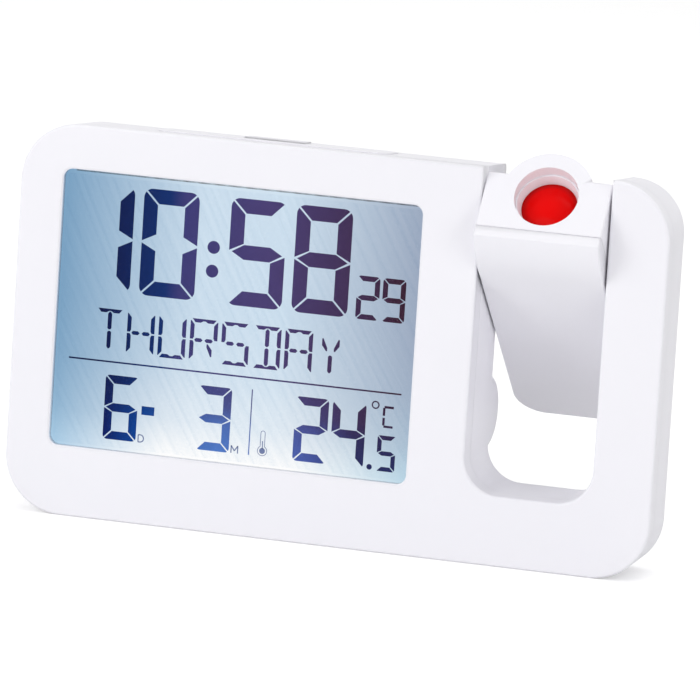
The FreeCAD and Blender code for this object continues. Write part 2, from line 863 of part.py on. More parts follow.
def arm_hollow():
    floor = barrel_point(tube_end + board_thickness)
    room = rod(floor, z_axis, barrel_radius - barrel_wall, 2 * arm_thickness + tube_end)
    return arm_block(arm_wall).fuse(room.common(below_lens_face(arm_wall)))


def arm_screw_places():
    return [(slot_middle, z) for z in arm_screw_heights]


def arm_front_cover():
    """Front skin of the arm, with the bosses for its screws."""
    big = 2 * casing_width
    front = box(-big, -big, -big, big, seam_depth, big)
    shape = arm_outside().cut(arm_hollow()).common(front)
    bosses = []
    pilots = []
    for x, z in arm_screw_places():
        bosses.append(rod(Vector(x, arm_wall / 2, z), y_axis, arm_boss_radius,
                          arm_boss_top - arm_wall / 2))
        pilots.append(rod(Vector(x, arm_wall, z), y_axis, screw_shank_radius + screw_fit,
                          casing_depth))
    return join([shape] + bosses).cut(pilots)


def arm_seam_groove():
    """The same narrow shadow line as the casing's, round the arm's rear half."""
    band = box(arm_left - 1, seam_depth, arm_tail_height - 1, arm_right + 1,
               seam_depth + seam_groove_width, 2 * casing_height)
    return band.cut(arm_block(seam_groove_depth))


def arm_rear_shell():
    """Rear half of the arm: barrel, lens guide, hinge bosses and screw posts."""
    big = 2 * casing_width
    rear = box(-big, seam_depth, -big, big, big, big)
    shape = arm_outside().cut(arm_hollow()).common(rear).cut(arm_seam_groove())
    adds = []
    cuts = []
    guide = rod(barrel_point(guide_tube_length), z_axis, guide_tube_radius,
                guide_tube_length + arm_thickness)
    adds.append(guide.common(below_lens_face(arm_wall / 2)))
    cuts.append(rod(barrel_point(guide_tube_length + 1), z_axis, guide_bore_radius,
                    guide_tube_length + arm_thickness))
    wheel_room_end = wheel_start + wheel_thickness + wheel_room
    cuts.append(rod(barrel_point(wheel_room_end), z_axis, wheel_radius + wheel_room,
                    wheel_thickness + 2 * wheel_room))
    for x in (arm_left + arm_wall / 2, arm_right - arm_wall - pivot_boss_length):
        adds.append(rod(Vector(x, hinge_depth, hinge_height), x_axis, pivot_boss_radius,
                        arm_wall / 2 + pivot_boss_length))
    cuts.append(rod(Vector(arm_left - 1, hinge_depth, hinge_height), x_axis, pivot_radius,
                    arm_wall + pivot_boss_length + 1))
    cuts.append(rod(Vector(arm_right + 1, hinge_depth, hinge_height), x_axis * -1, pivot_radius,
                    arm_wall + pivot_boss_length + 1))
    for x, z in arm_screw_places():
        adds.append(rod(Vector(x, arm_boss_top, z), y_axis, post_radius,
                        arm_thickness - arm_wall / 2 - arm_boss_top))
        cuts.append(rod(Vector(x, arm_pocket_floor, z), y_axis, pocket_radius, casing_depth))
        cuts.append(rod(Vector(x, arm_boss_top - 1, z), y_axis, screw_shank_radius + 0.3,
                        casing_depth))
    return join([shape] + adds).cut(cuts)


def arm_screws():
    length = arm_pocket_floor - arm_boss_top + screw_engagement
    return Part.makeCompound([screw(x, z, arm_pocket_floor, length) for x, z in arm_screw_places()])


def hinge_pivot(side):
    """A hollow flanged pivot, put in from inside the casing and pressed into the arm."""
    wall_inside = slot_left - wall if side < 0 else slot_right + wall
    flange_face = wall_inside + side * (washer_thickness + washer_gap)
    inner_end = arm_left + arm_wall + pivot_boss_length if side < 0 else (
        arm_right - arm_wall - pivot_boss_length)
    start = Vector(flange_face + side * pivot_flange_thickness, hinge_depth, hinge_height)
    inward = x_axis * -side
    pin = rod(start, inward, pivot_radius, abs(inner_end - start.x))
    flange = rod(start, inward, pivot_flange_radius, pivot_flange_thickness)
    bore = rod(start, inward, pivot_bore_radius, 2 * slot_width)
    return join([pin, flange]).cut(bore)


def hinge_washers():
    """Sprung rings between the pivots' flanges and the slot's walls, which hold the arm still."""
    rings = []
    for side, face in ((-1, slot_left - wall), (1, slot_right + wall)):
        start = Vector(face + side * washer_gap, hinge_depth, hinge_height)
        rings.append(ring(start, x_axis * side, pivot_flange_radius + 0.2, pivot_radius + 0.15,
                          washer_thickness))
    return Part.makeCompound(rings)


def lens_cell():
    """The short tube that carries the lens and slides in the guide as the wheel turns."""
    outer = guide_bore_radius - cell_fit
    lens_radius = outer - cell_wall
    tube = rod(barrel_point(cell_end), z_axis, outer, cell_end - cell_start)
    seat = rod(barrel_point(lens_seat + lens_edge), z_axis, lens_radius, cell_end)
    mouth = Part.makeCone(lens_radius, outer - cell_lip, lens_seat - cell_start,
                          barrel_point(lens_seat), z_axis)
    bore = rod(barrel_point(cell_end + 1), z_axis, lens_radius - cell_wall, cell_end)
    return tube.cut([seat, mouth, bore])


def projection_lens():
    """Red lens, flat behind and bulging in front."""
    radius = guide_bore_radius - cell_fit - cell_wall
    edge = rod(barrel_point(lens_seat + lens_edge), z_axis, radius, lens_edge)
    sphere_radius = (radius ** 2 + lens_crown ** 2) / (2 * lens_crown)
    dome = Part.makeSphere(sphere_radius, barrel_point(lens_seat + sphere_radius - lens_crown))
    cap = dome.common(rod(barrel_point(lens_seat), z_axis, 2 * radius, 2 * radius))
    return edge.fuse(cap).removeSplitter()


def focus_wheel():
    """Thumb wheel round the lens cell, ribbed where it shows in the back of the barrel."""
    wheel = ring(barrel_point(wheel_start + wheel_thickness), z_axis, wheel_radius,
                 guide_bore_radius, wheel_thickness)
    base = barrel_point(wheel_start + wheel_thickness + 1)
    grooves = []
    for i in range(wheel_ridges):
        angle = 2 * math.pi * i / wheel_ridges
        place = base + Vector(math.cos(angle), math.sin(angle), 0) * wheel_radius
        grooves.append(rod(place, z_axis, wheel_groove_radius, wheel_thickness + 2))
    return wheel.cut(grooves)


def light_tube():
    """Tube below the wheel, with a shelf between the picture slide and the condenser."""
    outer = barrel_radius - barrel_wall - tube_room
    tube = ring(barrel_point(tube_end), z_axis, outer, tube_bore_radius, tube_end - tube_start)
    shelf = ring(barrel_point(shelf_start + shelf_thickness), z_axis, tube_bore_radius + 0.5,
                 shelf_bore_radius, shelf_thickness)
    return join([tube, shelf])


def picture_slide():
    half = slide_side / 2
    low = barrel_point(shelf_start)
    return box(low.x - half, low.y - half, low.z, low.x + half, low.y + half,
               low.z + slide_thickness)


def condenser_lens():
    radius = tube_bore_radius - tube_room
    top = shelf_start + shelf_thickness
    edge = 1.0
    rise = condenser_thickness - edge
    sphere_radius = (radius ** 2 + rise ** 2) / (2 * rise)
    rim = rod(barrel_point(top + edge), z_axis, radius, edge)
    dome = Part.makeSphere(sphere_radius, barrel_point(top + condenser_thickness - sphere_radius))
    below = rod(barrel_point(top + 2 * sphere_radius), z_axis, 2 * radius,
                2 * sphere_radius - edge)
    return rim.fuse(dome.common(below)).removeSplitter()


def projector_board():
    return rod(barrel_point(tube_end + board_thickness), z_axis,
               barrel_radius - barrel_wall - tube_room, board_thickness)


def projector_lamp():
    body = rod(barrel_point(tube_end), z_axis, lamp_radius, lamp_height - lamp_radius)
    dome = Part.makeSphere(lamp_radius, barrel_point(tube_end - lamp_height + lamp_radius))
    above = rod(barrel_point(tube_end), z_axis, 2 * lamp_radius, 2 * lamp_height)
    return body.fuse(dome.common(above))


def lead_connector():
    half = lead_block_side / 2
    return box(board_right - lead_block_side, board_rear, hinge_height - half,
               board_right, hinge_depth + half, hinge_height + half)


def projector_lead():
    """Wires from the board through the hollow pivot and down inside the arm to the lamp."""
    turn_x = arm_left + arm_wall + pivot_boss_length + lead_side_gap + lead_radius
    low = barrel_point(tube_end + board_thickness / 2)
    reach = math.sqrt((barrel_radius - barrel_wall - tube_room) ** 2
                      - (barrel_depth - hinge_depth) ** 2)
    points = [Vector(board_right, hinge_depth, hinge_height),
              Vector(turn_x, hinge_depth, hinge_height),
              Vector(turn_x, hinge_depth, low.z),
              Vector(slot_middle - reach, hinge_depth, low.z)]
    pieces = []
    for start, end in zip(points, points[1:]):
        run = end - start
        pieces.append(rod(start, run, lead_radius, run.Length))
    for corner in points[1:-1]:
        pieces.append(Part.makeSphere(lead_radius, corner))
    return join(pieces)


def raised(shape):
    """The folded arm's piece, turned about the hinge to the pose the clock is shown in."""
    turned = shape.copy()
    turned.rotate(Vector(0, hinge_depth, hinge_height), x_axis, rest_tilt)
    return turned


def all_parts():
    parts = {
        "front_casing": front_casing(),
        "rear_casing": rear_casing(),
        "case_screws": case_screws(),
        "display_window": display_window(),
        "lcd_glass": lcd_glass(),
        "light_guide": light_guide(),
        "backlight_leds": backlight_leds(),
        "zebra_connector": zebra_connector(),
        "lcd_tray": lcd_tray(),
        "main_board": main_board(),
        "board_screws": board_screws(),
        "control_chip": control_chip(),
        "quartz_crystal": quartz_crystal(),
        "capacitors": capacitors(),
        "thermistor": thermistor(),
        "sounder": sounder(),
        "power_inlet": power_inlet(),
        "lead_connector": lead_connector(),
        "button_switches": button_switches(),
        "snooze_switch": snooze_switch(),
        "snooze_bar": snooze_bar(),
        "slide_switch": slide_switch(),
        "slide_knob": slide_knob(),
        "battery_spring": battery_spring(),
        "battery_contact": battery_contact(),
        "battery_door": battery_door(),
        "hinge_washers": hinge_washers(),
    }
    for name, x in zip(button_names, button_lefts):
        parts[name] = rear_button(x)
    for name, cell in zip(("battery_cell_left", "battery_cell_right"), battery_cells()):
        parts[name] = cell
    folded = {
        "arm_front_cover": arm_front_cover(),
        "arm_rear_shell": arm_rear_shell(),
        "arm_screws": arm_screws(),
        "hinge_pivot_left": hinge_pivot(-1),
        "hinge_pivot_right": hinge_pivot(1),
        "lens_cell": lens_cell(),
        "projection_lens": projection_lens(),
        "focus_wheel": focus_wheel(),
        "light_tube": light_tube(),
        "picture_slide": picture_slide(),
        "condenser_lens": condenser_lens(),
        "projector_board": projector_board(),
        "projector_lamp": projector_lamp(),
        "projector_lead": projector_lead(),
    }
    for name, shape in folded.items():
        parts[name] = raised(shape)
    return parts


os.makedirs("parts", exist_ok=True)
for node, solid in all_parts().items():
    placed = solid.copy()
    placed.translate(Vector(-casing_width / 2, -casing_depth / 2, 0))
    placed.exportStep("parts/" + node + ".step")
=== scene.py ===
import bpy
import bmesh
import math
from mathutils import Matrix, Vector


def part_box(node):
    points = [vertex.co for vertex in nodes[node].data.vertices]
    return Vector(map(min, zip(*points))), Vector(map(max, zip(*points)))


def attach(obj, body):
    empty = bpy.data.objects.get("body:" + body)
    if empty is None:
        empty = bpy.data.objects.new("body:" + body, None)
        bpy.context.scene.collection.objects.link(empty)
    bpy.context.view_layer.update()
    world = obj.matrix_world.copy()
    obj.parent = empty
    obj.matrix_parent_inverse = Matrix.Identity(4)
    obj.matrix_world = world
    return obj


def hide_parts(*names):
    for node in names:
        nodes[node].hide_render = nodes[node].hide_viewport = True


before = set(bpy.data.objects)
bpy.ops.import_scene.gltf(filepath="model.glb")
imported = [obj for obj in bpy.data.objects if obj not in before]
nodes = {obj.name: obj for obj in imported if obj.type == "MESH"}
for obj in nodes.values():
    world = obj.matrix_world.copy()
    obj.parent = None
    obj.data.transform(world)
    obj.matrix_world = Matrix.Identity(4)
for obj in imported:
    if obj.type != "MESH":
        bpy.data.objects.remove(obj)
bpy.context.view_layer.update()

# Camera
# A long lens nearly two metres away, a little above the clock and to its right, slightly rolled.
# Its focal length is in pixels of the photograph's frame, which is 700 pixels wide.
MM = 0.001
scene = bpy.context.scene
scene.view_settings.view_transform = "Standard"
azimuth = math.radians(16.13)
elevation = math.radians(9.44)
roll = math.radians(3.67)
aim = Vector((4.42, -10.75, 49.26)) * MM
camera_distance = 1931 * MM
focal_pixels = 7932
photo_pixels = 700
backward = Vector((math.sin(azimuth) * math.cos(elevation),
                   -math.cos(azimuth) * math.cos(elevation), math.sin(elevation)))
level_right = (-backward).cross(Vector((0, 0, 1))).normalized()
level_up = level_right.cross(-backward)
camera_right = math.cos(roll) * level_right + math.sin(roll) * level_up
camera_up = math.cos(roll) * level_up - math.sin(roll) * level_right
camera_data = bpy.data.cameras.new("photo_camera")
camera_data.sensor_width = 36
camera_data.sensor_fit = "HORIZONTAL"
camera_data.lens = camera_data.sensor_width * focal_pixels / photo_pixels
camera_data.clip_start = 0.05
camera_data.clip_end = 20
camera = bpy.data.objects.new("photo_camera", camera_data)
scene.collection.objects.link(camera)
axes = Matrix((camera_right, camera_up, backward)).transposed()
camera.matrix_world = Matrix.Translation(aim + backward * camera_distance) @ axes.to_4x4()
scene.camera = camera


# Floor, room light and lamps
# A plain white paper sweep that the clock stands on, in an even white room with four large soft
# boxes. The paper glows a little for the camera alone: it looks white and still shows a shadow.
def linear(code):
    """A hex sRGB colour as linear red, green, blue and alpha."""
    channels = [int(code[i:i + 2], 16) / 255 for i in (1, 3, 5)]
    return tuple(c / 12.92 if c <= 0.04045 else ((c + 0.055) / 1.055) ** 2.4
                 for c in channels) + (1.0,)


def add(tree, kind, inputs=None, **settings):
    """Adds a node, with its settings and with values or links for its inputs."""
    made = tree.nodes.new(kind)
    for name, value in settings.items():
        setattr(made, name, value)
    for name, value in (inputs or {}).items():
        if isinstance(value, bpy.types.NodeSocket):
            tree.links.new(value, made.inputs[name])
        else:
            made.inputs[name].default_value = value
    return made


def start_material(name):
    """A new material and its empty tree."""
    made = bpy.data.materials.new(name)
    made.use_nodes = True
    made.node_tree.nodes.clear()
    return made, made.node_tree


def link_object(name, mesh):
    made = bpy.data.objects.new(name, mesh)
    scene.collection.objects.link(made)
    return made


white = linear("#FFFFFF")
floor_glow = 0.32
floor_reach = 4.0
floor_mat, tree = start_material("white_paper_sweep")
paper = add(tree, "ShaderNodeBsdfPrincipled", {"Base Color": linear("#F4F4F4"), "Roughness": 0.9})
path = add(tree, "ShaderNodeLightPath")
share = add(tree, "ShaderNodeMath", {0: path.outputs["Is Camera Ray"], 1: floor_glow},
            operation="MULTIPLY")
glow = add(tree, "ShaderNodeEmission", {"Color": white, "Strength": share.outputs[0]})
summed = add(tree, "ShaderNodeAddShader", {0: paper.outputs[0], 1: glow.outputs[0]})
add(tree, "ShaderNodeOutputMaterial", {"Surface": summed.outputs[0]})

floor_mesh = bpy.data.meshes.new("paper_sweep")
bm = bmesh.new()
bmesh.ops.create_grid(bm, x_segments=1, y_segments=1, size=floor_reach)
bm.to_mesh(floor_mesh)
bm.free()
floor = link_object("paper_sweep", floor_mesh)
floor.data.materials.append(floor_mat)

room_strength = 0.54
world = bpy.data.worlds.new("white_room")
world.use_nodes = True
tree = world.node_tree
tree.nodes.clear()
room = add(tree, "ShaderNodeBackground", {"Color": white, "Strength": room_strength})
seen = add(tree, "ShaderNodeBackground", {"Color": white, "Strength": 1.0})
path = add(tree, "ShaderNodeLightPath")
seen_by = path.outputs["Is Camera Ray"]
for ray in ("Is Glossy Ray", "Is Transmission Ray"):
    either = add(tree, "ShaderNodeMath", {0: seen_by, 1: path.outputs[ray]}, operation="MAXIMUM")
    seen_by = either.outputs[0]
mixed = add(tree, "ShaderNodeMixShader", {0: seen_by, 1: room.outputs[0], 2: seen.outputs[0]})
add(tree, "ShaderNodeOutputWorld", {"Surface": mixed.outputs[0]})
scene.world = world

clock_middle = Vector((0, 0, 0.05))


def soft_box(name, place, size, power):
    """A square soft box, turned to the middle of the clock."""
    data = bpy.data.lights.new(name, "AREA")
    data.shape = "SQUARE"
    data.size = size
    data.energy = power
    lamp = bpy.data.objects.new(name, data)
    scene.collection.objects.link(lamp)
    spot = Vector(place)
    lamp.location = spot
    lamp.rotation_euler = (clock_middle - spot).to_track_quat("-Z", "Y").to_euler()


soft_box("key_box", place=(-1.2, -1.25, 0.55), size=0.9, power=9.5)
soft_box("front_box", place=(-0.45, -1.3, 1.15), size=0.8, power=2.4)
soft_box("top_box", place=(0.2, 0.3, 1.5), size=1.0, power=6)
soft_box("fill_box", place=(1.3, -1.0, 0.3), size=0.9, power=6)


# Moulded casing, arm, snooze bar, battery door and lens cell
# White ABS, injection moulded: a satin skin with a grain of about 0.2 mm that only softens its
# highlights, and a faint cool cast. Screws hold the casing's halves together, and the arm's. The
# lens cell slides in the arm's barrel.
def own_place(tree):
    """A point's place on the object itself, in metres."""
    return add(tree, "ShaderNodeTexCoord").outputs["Object"]


def noise(tree, size_mm, detail=2.0):
    """A soft mottle whose patches are about size_mm across."""
    made = add(tree, "ShaderNodeTexNoise", {"Vector": own_place(tree), "Scale": 1 / (size_mm * MM),
                                            "Detail": detail})
    return made.outputs["Fac"]


def blend(tree, factor, first, second):
    """One colour turning into another as the factor goes from 0 to 1."""
    made = add(tree, "ShaderNodeMix", {"Factor": factor, "A": first, "B": second},
               data_type="RGBA")
    return made.outputs["Result"]


def cover(tree, inputs):
    """Ends a material's tree with one principled shader that has these inputs."""
    skin = add(tree, "ShaderNodeBsdfPrincipled", inputs)
    add(tree, "ShaderNodeOutputMaterial", {"Surface": skin.outputs[0]})


def moulded_plastic(name, colour, shade, roughness, grain_mm, depth_mm):
    """Satin moulded plastic with a fine grain and a slight change of tone across it."""
    made, tree = start_material(name)
    patch_mm = 45
    tone = noise(tree, patch_mm, detail=1.0)
    relief = add(tree, "ShaderNodeBump", {"Height": noise(tree, grain_mm), "Strength": 0.25,
                                          "Distance": depth_mm * MM})
    cover(tree, {"Base Color": blend(tree, tone, linear(colour), linear(shade)),
                 "Roughness": roughness, "IOR": 1.52, "Normal": relief.outputs["Normal"]})
    return made


white_abs = moulded_plastic("white_moulded_abs", "#F1F0F5", "#EEEDF3", roughness=0.42,
                            grain_mm=0.2, depth_mm=0.01)


def paint(names, mat):
    """Gives CAD nodes their finish."""
    for name in names:
        mesh = nodes[name].data
        mesh.materials.clear()
        mesh.materials.append(mat)


def smooth_copy(name, mat, body, sharp_from=35):
    """The node's own shape with its triangles joined, so that its rounds shade smoothly.

    Edges that turn by more than sharp_from degrees stay sharp, and flats stay flat."""
    weld_mm = 0.002
    mesh = nodes[name].data.copy()
    mesh.name = name + "_skin"
    bm = bmesh.new()
    bm.from_mesh(mesh)
    bmesh.ops.remove_doubles(bm, verts=bm.verts, dist=weld_mm * MM)
    for face in bm.faces:
        face.smooth = True
    bm.to_mesh(mesh)
    bm.free()
    mesh.set_sharp_from_angle(angle=math.radians(sharp_from))
    mesh.materials.clear()
    mesh.materials.append(mat)
    piece = link_object(name + "_skin", mesh)
    level = piece.modifiers.new("level_flats", "WEIGHTED_NORMAL")
    level.mode = "FACE_AREA"
    level.weight = 100
    level.keep_sharp = True
    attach(piece, body)
    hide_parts(name)


for name, body in (("front_casing", "casing"), ("rear_casing", "casing"),
                   ("snooze_bar", "snooze_bar"), ("battery_door", "battery_door"),
                   ("arm_front_cover", "projector_arm"), ("arm_rear_shell", "projector_arm"),
                   ("lens_cell", "lens_carrier")):
    smooth_copy(name, white_abs, body)


# Display panel
# A glass cell that glows through its film, behind a thin window of clear acrylic that sits in the
# casing. The lamps under its lower edge make it nearly white there. Higher up it falls off to a
# cool blue at the left and a greyer blue at the right.
casing_left = -82.5
lcd_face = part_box("lcd_glass")[0].y


def ramp(tree, factor, stops):
    """A colour ramp with its stops given as (position, hex colour)."""
    made = add(tree, "ShaderNodeValToRGB", {"Fac": factor})
    band = made.color_ramp
    while len(band.elements) < len(stops):
        band.elements.new(0.5)
    for element, (position, colour) in zip(band.elements, stops):
        element.position = position
        element.color = linear(colour)
    return made.outputs["Color"]


def display_colour(tree, upper, lower, fade):
    """Colour across the display, from ramps whose stops are in millimetres.

    Upper and lower run along x from the casing's left edge. Fade runs up z and turns lower into
    upper: white is all lower and black is all upper."""
    left, right = 9.0, 105.0
    low, high = 15.0, 89.0

    def spread(value, start, end, stops, origin=0.0):
        span = add(tree, "ShaderNodeMapRange", {"Value": value, "From Min": (origin + start) * MM,
                                                "From Max": (origin + end) * MM})
        return ramp(tree, span.outputs[0], [((at - start) / (end - start), c) for at, c in stops])

    parts = add(tree, "ShaderNodeSeparateXYZ", {"Vector": own_place(tree)})
    across, up = parts.outputs["X"], parts.outputs["Z"]
    return blend(tree, spread(up, low, high, fade),
                 spread(across, left, right, upper, casing_left),
                 spread(across, left, right, lower, casing_left))


lcd_mat, tree = start_material("backlit_display_film")
glow = display_colour(
    tree,
    upper=[(10, "#7DA4C4"), (47, "#D2E3F1"), (67, "#D2E3F1"), (102, "#A0ADC2")],
    lower=[(10, "#AACDE6"), (39, "#FFFFFF"), (72, "#FFFFFF"), (102, "#BED9E8")],
    fade=[(18, "#FFFFFF"), (26, "#B4B4B4"), (39, "#5E5E5E"), (54, "#000000")])
cover(tree, {"Base Color": linear("#000000"), "Roughness": 0.6, "Specular IOR Level": 0.0,
             "IOR": 1.0, "Emission Color": glow, "Emission Strength": 1.0})
paint(["lcd_glass"], lcd_mat)

window_mat, tree = start_material("clear_coated_acrylic")
rough = add(tree, "ShaderNodeMapRange", {"Value": noise(tree, 0.3), "To Min": 0.3, "To Max": 0.4})
cover(tree, {"Base Color": linear("#9A9CA0"), "IOR": 1.49, "Roughness": rough.outputs[0],
             "Alpha": 0.004, "Specular IOR Level": 0.05})
paint(["display_window"], window_mat)


# Display figures
# Dark liquid-crystal segments on the glass. They look navy at the left and plum at the right,
# and bluer where the lamps shine through them from below.
ink_mat, tree = start_material("liquid_crystal_segments")
ink = display_colour(
    tree,
    upper=[(22, "#040F40"), (38, "#0A2A66"), (42, "#3A3870"), (64, "#473C6E"), (98, "#371C30")],
    lower=[(24, "#00145C"), (34, "#00469A"), (54, "#507CC8"), (76, "#485CA8"), (88, "#222A5C")],
    fade=[(18, "#FFFFFF"), (27, "#D0D0D0"), (31, "#808080"), (40, "#000000")])
cover(tree, {"Base Color": ink, "Roughness": 0.7, "Specular IOR Level": 0.1})

film_thickness = 0.04


def flat_piece(name, outlines, mat):
    """A thin printed piece on the display: each outline is a loop of (x, z) in millimetres."""
    mesh = bpy.data.meshes.new(name)
    bm = bmesh.new()
    for outline in outlines:
        corners = [bm.verts.new(((casing_left + x) * MM, lcd_face - film_thickness * MM, z * MM))
                   for x, z in outline]
        face = bm.faces.new(corners)
        solid = bmesh.ops.extrude_face_region(bm, geom=[face])
        moved = [v for v in solid["geom"] if isinstance(v, bmesh.types.BMVert)]
        bmesh.ops.translate(bm, verts=moved, vec=(0, film_thickness * MM, 0))
    bmesh.ops.recalc_face_normals(bm, faces=bm.faces)
    bm.to_mesh(mesh)
    bm.free()
    mesh.materials.append(mat)
    piece = link_object(name, mesh)
    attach(piece, "casing")


def mirrored(outline, middle, axis):
    """The outline turned over about a line through middle."""
    if axis == "x":
        return [(2 * middle - x, z) for x, z in outline]
    return [(x, 2 * middle - z) for x, z in outline]


def arc(x, z, radius_x, radius_z, start, end, steps):
    """Points along an arc about (x, z), its angles in radians and both ends included."""
    angles = [start + (end - start) * i / steps for i in range(steps + 1)]
    return [(x + radius_x * math.cos(t), z + radius_z * math.sin(t)) for t in angles]


def disc(x, z, radius):
    """A round outline: a full arc without the point that would close it."""
    return arc(x, z, radius, radius, 0, 2 * math.pi, 24)[:-1]


def box_outline(x0, z0, x1, z1):
    return [(x0, z0), (x1, z0), (x1, z1), (x0, z1)]


SEVEN = {"0": "abcdef", "1": "bc", "2": "abged", "3": "abgcd", "4": "fgbc", "5": "afgcd",
         "6": "afgedc", "8": "abcdefg", "9": "abfgcd"}


def seven_segments(figure, left, low, width, height, stroke, gap, corner):
    """The lit segments of one figure, parted by narrow gaps, with rounded outer corners."""
    right, top = left + width, low + height
    middle_x, middle_z = left + width / 2, low + height / 2
    slant = 0.7 * gap
    rise = 0.55 * gap
    half = stroke / 2
    tip = slant + 0.1 * stroke
    knee = stroke + slant / 2
    half_gap_angle = math.asin(gap / 2 / corner)
    quarter = math.pi / 4

    def corner_arc(centre_x, start, end):
        return arc(centre_x, top - corner, corner, corner, start, end, 4)

    upper = corner_arc(left + corner, 3 * quarter - half_gap_angle, 2 * quarter)
    upper += corner_arc(right - corner, 2 * quarter, quarter + half_gap_angle)
    upper += [(right - stroke - slant, top - stroke), (left + stroke + slant, top - stroke)]
    side = corner_arc(left + corner, 3 * quarter + half_gap_angle, 4 * quarter)
    side += [(left, middle_z + rise), (left + stroke, middle_z + half + rise),
             (left + stroke, top - stroke - slant)]
    bar = [(left + tip, middle_z), (left + knee, middle_z + half), (right - knee, middle_z + half),
           (right - tip, middle_z), (right - knee, middle_z - half), (left + knee, middle_z - half)]
    shapes = {"a": upper, "f": side, "g": bar, "d": mirrored(upper, middle_z, "z"),
              "b": mirrored(side, middle_x, "x"), "e": mirrored(side, middle_z, "z")}
    shapes["c"] = mirrored(shapes["e"], middle_x, "x")
    return [shapes[s] for s in SEVEN[figure]]


def figure_row(places, size):
    """The segments of several figures of one size, each with its own left edge."""
    return [outline for figure, left in places.items()
            for outline in seven_segments(figure, left, **size)]


time_size = {"low": 56.6, "width": 14.3, "height": 26.55, "stroke": 3.65, "gap": 0.45,
             "corner": 2.3}
time_row = figure_row({"1": 14.55, "0": 31.2, "5": 53.7, "8": 70.45}, time_size)
colon = [disc(49.75, 70.3, radius=1.6), disc(49.7, 64.4, radius=1.6)]
flat_piece("display_time", time_row + colon, ink_mat)

second_size = {"low": 56.6, "width": 5.85, "height": 10.75, "stroke": 1.3, "gap": 0.25,
               "corner": 1.0}
flat_piece("display_seconds", figure_row({"2": 86.8, "9": 93.4}, second_size), ink_mat)

date_size = {"low": 19.9, "width": 8.6, "height": 16.05, "stroke": 2.1, "gap": 0.32,
             "corner": 1.1}
date_row = figure_row({"6": 24.05, "3": 48.15}, date_size)
date_dash = box_outline(33.75, 26.9, 37.05, 29.05)
flat_piece("display_date", date_row + [date_dash], ink_mat)

warmth_size = dict(date_size, width=8.55)
tenth_size = {"low": 19.75, "width": 4.7, "height": 8.85, "stroke": 1.1, "gap": 0.25,
              "corner": 0.6}
warmth_row = figure_row({"2": 73.1, "4": 82.65}, warmth_size)
warmth_row += figure_row({"5": 94.5}, tenth_size)
point = disc(92.8, 20.5, radius=0.7)
flat_piece("display_temperature", warmth_row + [point], ink_mat)


# Weekday row
# Eight starburst characters of thin liquid-crystal segments: straight sides, halved middle bars
# and centre posts with pointed ends, and slanting legs.
FOURTEEN = {"T": "top up down", "H": "fl fu el eu ml mr", "U": "fl fu el eu bottom",
            "R": "fl fu el top ml mr leg_r", "S": "top fl ml mr eu bottom",
            "D": "top up down el eu bottom", "A": "top fl fu el eu ml mr", "Y": "arm_l arm_r down"}


def starburst(letter, left, low):
    """The lit segments of one weekday character."""
    width, height, stroke, gap = 7.1, 10.6, 1.05, 0.18
    right, top = left + width, low + height
    mid_x, mid_z = left + width / 2, low + height / 2
    inner = left + stroke
    half = stroke / 2

    crown_end, crown_foot, crown_depth = 0.45, 1.2, 0.95
    notch_side, notch_depth = 0.3, 0.55
    crown = [(left + crown_end, top), (right - crown_end, top),
             (right - crown_foot, top - crown_depth), (mid_x + crown_depth, top - crown_depth),
             (mid_x + notch_side, top - notch_depth), (mid_x - notch_side, top - notch_depth),
             (mid_x - crown_depth, top - crown_depth), (left + crown_foot, top - crown_depth)]

    side = [(left, top - 0.55), (left + 0.2, top - 0.5), (inner, top - 1.5),
            (inner, mid_z + 0.75), (left + 0.75, mid_z + gap), (left, mid_z + gap)]

    dash_half, dash_shoulder = 0.48, 0.7
    dash = [(inner + 0.1, mid_z), (inner + 0.5, mid_z + dash_half),
            (mid_x - dash_shoulder, mid_z + dash_half), (mid_x - 0.25, mid_z),
            (mid_x - dash_shoulder, mid_z - dash_half), (inner + 0.5, mid_z - dash_half)]

    post_tip, post_shoulder = 0.2, 1.25
    post = [(mid_x - half, top - post_shoulder), (mid_x - post_tip, top - 0.75),
            (mid_x + post_tip, top - 0.75), (mid_x + half, top - post_shoulder),
            (mid_x + half, mid_z + 0.5), (mid_x + post_tip, mid_z + gap),
            (mid_x - post_tip, mid_z + gap), (mid_x - half, mid_z + 0.5)]

    arm_side, arm_foot = 0.25, 0.85
    arm = [(inner + arm_side, top - 1.5), (inner + 0.55, top - 1.35),
           (mid_x - arm_foot, mid_z + 1.6), (mid_x - arm_foot, mid_z + 0.8),
           (mid_x - 1.15, mid_z + 0.8), (inner + arm_side, top - 3.1)]

    shapes = {"top": crown, "bottom": mirrored(crown, mid_z, "z"), "fl": side, "ml": dash,
              "fu": mirrored(side, mid_z, "z"), "mr": mirrored(dash, mid_x, "x"), "up": post,
              "down": mirrored(post, mid_z, "z"), "arm_l": arm, "arm_r": mirrored(arm, mid_x, "x")}
    shapes["el"] = mirrored(side, mid_x, "x")
    shapes["eu"] = mirrored(shapes["el"], mid_z, "z")
    shapes["leg_r"] = mirrored(shapes["arm_r"], mid_z, "z")
    return [shapes[s] for s in FOURTEEN[letter].split()]


weekday_left, weekday_low, weekday_pitch = 20.65, 41.7, 8.13
weekday = []
for i, letter in enumerate("THURSDAY"):
    weekday += starburst(letter, weekday_left + weekday_pitch * i, weekday_low)
flat_piece("display_weekday", weekday, ink_mat)


# Display rules and small marks
# Two thin rules part the date and the temperature from the time. The marks are the day's and
# month's letters, the degree ring, the C and a little thermometer, all printed finer.
mark_mat, tree = start_material("fine_grey_print")
cover(tree, {"Base Color": blend(tree, noise(tree, 2), linear("#5E6C96"), linear("#6F7DA6")),
             "Roughness": 0.7})


